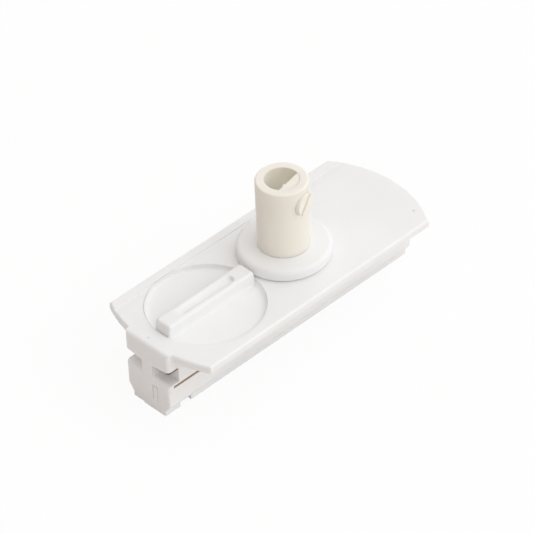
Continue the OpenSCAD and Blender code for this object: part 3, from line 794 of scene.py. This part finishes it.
class ADAPTER_OT_stage(bpy.types.Operator):
    """White floor, soft studio light and the camera"""

    bl_idname = "adapter.stage"
    bl_label = "Stage"

    def execute(self, context):
        scene = context.scene
        stage = scene.adapter_stage
        self.floor(scene, stage)
        self.lights(scene, stage)
        self.camera(scene, stage)
        scene.view_settings.view_transform = "Standard"
        return {"FINISHED"}

    def seen(self, tree):
        """One where the camera looks straight at a surface, through glass or in a reflection."""
        path = add(tree, "ShaderNodeLightPath")
        mirrored = add(
            tree,
            "ShaderNodeMath",
            {0: path.outputs["Is Glossy Ray"], 1: path.outputs["Is Transmission Ray"]},
            operation="MAXIMUM",
        )
        either = add(
            tree,
            "ShaderNodeMath",
            {0: path.outputs["Is Camera Ray"], 1: mirrored.outputs[0]},
            operation="MAXIMUM",
        )
        return either.outputs[0]

    def floor(self, scene, stage):
        """A wide white floor that takes the object's shadow."""
        # Just clear of the foot's own face, which would otherwise lie in the same plane.
        level = -FLOOR_DROP
        signs = ((-1, -1), (1, -1), (1, 1), (-1, 1))
        corners = [(x * FLOOR_HALF, y * FLOOR_HALF, level) for x, y in signs]
        mesh = bpy.data.meshes.new("studio_floor")
        mesh.from_pydata(corners, [], [(0, 1, 2, 3)])
        floor = bpy.data.objects.new("studio_floor", mesh)
        scene.collection.objects.link(floor)
        # Plain white to the eye with a faint shadow, and off-white in the light it throws back.
        material, tree = new_material("white studio paper")
        seen = self.seen(tree)
        tone = add(
            tree,
            "ShaderNodeMix",
            {"Factor": seen, "A": stage.paper, "B": stage.backdrop},
            data_type="RGBA",
        )
        paper = add(tree, "ShaderNodeBsdfDiffuse", {"Color": tone.outputs["Result"]})
        white = add(tree, "ShaderNodeEmission", {"Color": stage.backdrop, "Strength": 1.0})
        share = add(tree, "ShaderNodeMath", {0: seen, 1: 1 - stage.shade}, operation="MULTIPLY")
        mixed = add(
            tree,
            "ShaderNodeMixShader",
            {0: share.outputs[0], 1: paper.outputs[0], 2: white.outputs[0]},
        )
        close(tree, mixed)
        mesh.materials.append(material)

    def lights(self, scene, stage):
        """Light from all round that is stronger on the right, and one large soft lamp."""
        world = bpy.data.worlds.new("studio")
        world.use_nodes = True
        tree = world.node_tree
        tree.nodes.clear()
        way = add(tree, "ShaderNodeTexCoord").outputs["Generated"]
        dot = add(tree, "ShaderNodeVectorMath", {0: way, 1: stage.lean}, operation="DOT_PRODUCT")
        lean = dot.outputs["Value"]
        level = add(tree, "ShaderNodeMath", {0: lean, 1: stage.sky}, operation="ADD")
        reach = Vector(stage.lean).length
        side = add(
            tree, "ShaderNodeMapRange", {"Value": lean, "From Min": -reach, "From Max": reach}
        )
        shade = add(
            tree,
            "ShaderNodeMix",
            {"Factor": side.outputs["Result"], "A": stage.near_tint, "B": stage.far_tint},
            data_type="RGBA",
        )
        fill = add(
            tree,
            "ShaderNodeBackground",
            {"Color": shade.outputs["Result"], "Strength": level.outputs[0]},
        )
        white = add(tree, "ShaderNodeBackground", {"Color": stage.backdrop})
        mixed = add(
            tree,
            "ShaderNodeMixShader",
            {0: self.seen(tree), 1: fill.outputs[0], 2: white.outputs[0]},
        )
        add(tree, "ShaderNodeOutputWorld", {"Surface": mixed.outputs[0]})
        scene.world = world
        lamp = bpy.data.lights.new("key", "AREA")
        lamp.shape = "DISK"
        lamp.size = LAMP_SIZE
        lamp.energy = stage.key
        lamp.color = stage.key_tint[:3]
        key = bpy.data.objects.new("key", lamp)
        toward = Vector(LAMP_SIDE).normalized()
        key.location = toward * LAMP_DISTANCE
        key.rotation_euler = toward.to_track_quat("Z", "Y").to_euler()
        scene.collection.objects.link(key)

    def camera(self, scene, stage):
        """A long lens at the photograph's angle."""
        sin_a, cos_a = math.sin(stage.azimuth), math.cos(stage.azimuth)
        sin_e, cos_e = math.sin(stage.elevation), math.cos(stage.elevation)
        back = Vector((sin_a * cos_e, -cos_a * cos_e, sin_e))
        right = Vector((cos_a, sin_a, 0))
        up = back.cross(right)
        turned_right = right * math.cos(stage.roll) + up * math.sin(stage.roll)
        turned_up = up * math.cos(stage.roll) - right * math.sin(stage.roll)
        lens = bpy.data.cameras.new("camera")
        lens.sensor_width = SENSOR_MM
        lens.lens = stage.focal_px / IMAGE_PX * lens.sensor_width
        lens.clip_start = CLIP_START
        camera = bpy.data.objects.new("camera", lens)
        place = Matrix.Translation(Vector(stage.target) + back * stage.distance)
        turn = Matrix((turned_right, turned_up, back)).transposed()
        camera.matrix_world = place @ turn.to_4x4()
        scene.collection.objects.link(camera)
        scene.camera = camera


OPERATORS = (
    ADAPTER_OT_white_mouldings,
    ADAPTER_OT_knob,
    ADAPTER_OT_rotor,
    ADAPTER_OT_cord_grip,
    ADAPTER_OT_contacts,
    ADAPTER_OT_fasteners,
    ADAPTER_OT_stage,
)


class ADAPTER_PT_panel(bpy.types.Panel):
    """Lists the adapter's colours, sizes and operators"""

    bl_label = "Track adapter"
    bl_idname = "ADAPTER_PT_panel"
    bl_space_type = "VIEW_3D"
    bl_region_type = "UI"
    bl_category = "Adapter"

    def draw(self, context):
        column = self.layout.column()
        scene = context.scene
        groups = (
            scene.adapter_finishes,
            scene.adapter_knob,
            scene.adapter_leaf,
            scene.adapter_stage,
        )
        for group in groups:
            for name in group.__annotations__:
                column.prop(group, name)
        for operator in OPERATORS:
            column.operator(operator.bl_idname)


CLASSES = (
    AdapterFinishes,
    AdapterKnob,
    AdapterLeaf,
    AdapterStage,
    *OPERATORS,
    ADAPTER_PT_panel,
)


def register():
    """Registers the classes and hangs the property groups on the scene."""
    for cls in CLASSES:
        bpy.utils.register_class(cls)
    bpy.types.Scene.adapter_finishes = PointerProperty(type=AdapterFinishes)
    bpy.types.Scene.adapter_knob = PointerProperty(type=AdapterKnob)
    bpy.types.Scene.adapter_leaf = PointerProperty(type=AdapterLeaf)
    bpy.types.Scene.adapter_stage = PointerProperty(type=AdapterStage)


def unregister():
    """Takes the property groups and classes away again."""
    del bpy.types.Scene.adapter_stage
    del bpy.types.Scene.adapter_leaf
    del bpy.types.Scene.adapter_knob
    del bpy.types.Scene.adapter_finishes
    for cls in reversed(CLASSES):
        bpy.utils.unregister_class(cls)


def main():
    """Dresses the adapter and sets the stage."""
    register()
    bpy.ops.adapter.white_mouldings()
    bpy.ops.adapter.knob()
    bpy.ops.adapter.rotor()
    bpy.ops.adapter.cord_grip()
    bpy.ops.adapter.contacts()
    bpy.ops.adapter.fasteners()
    bpy.ops.adapter.stage()


if __name__ == "__main__":
    main()
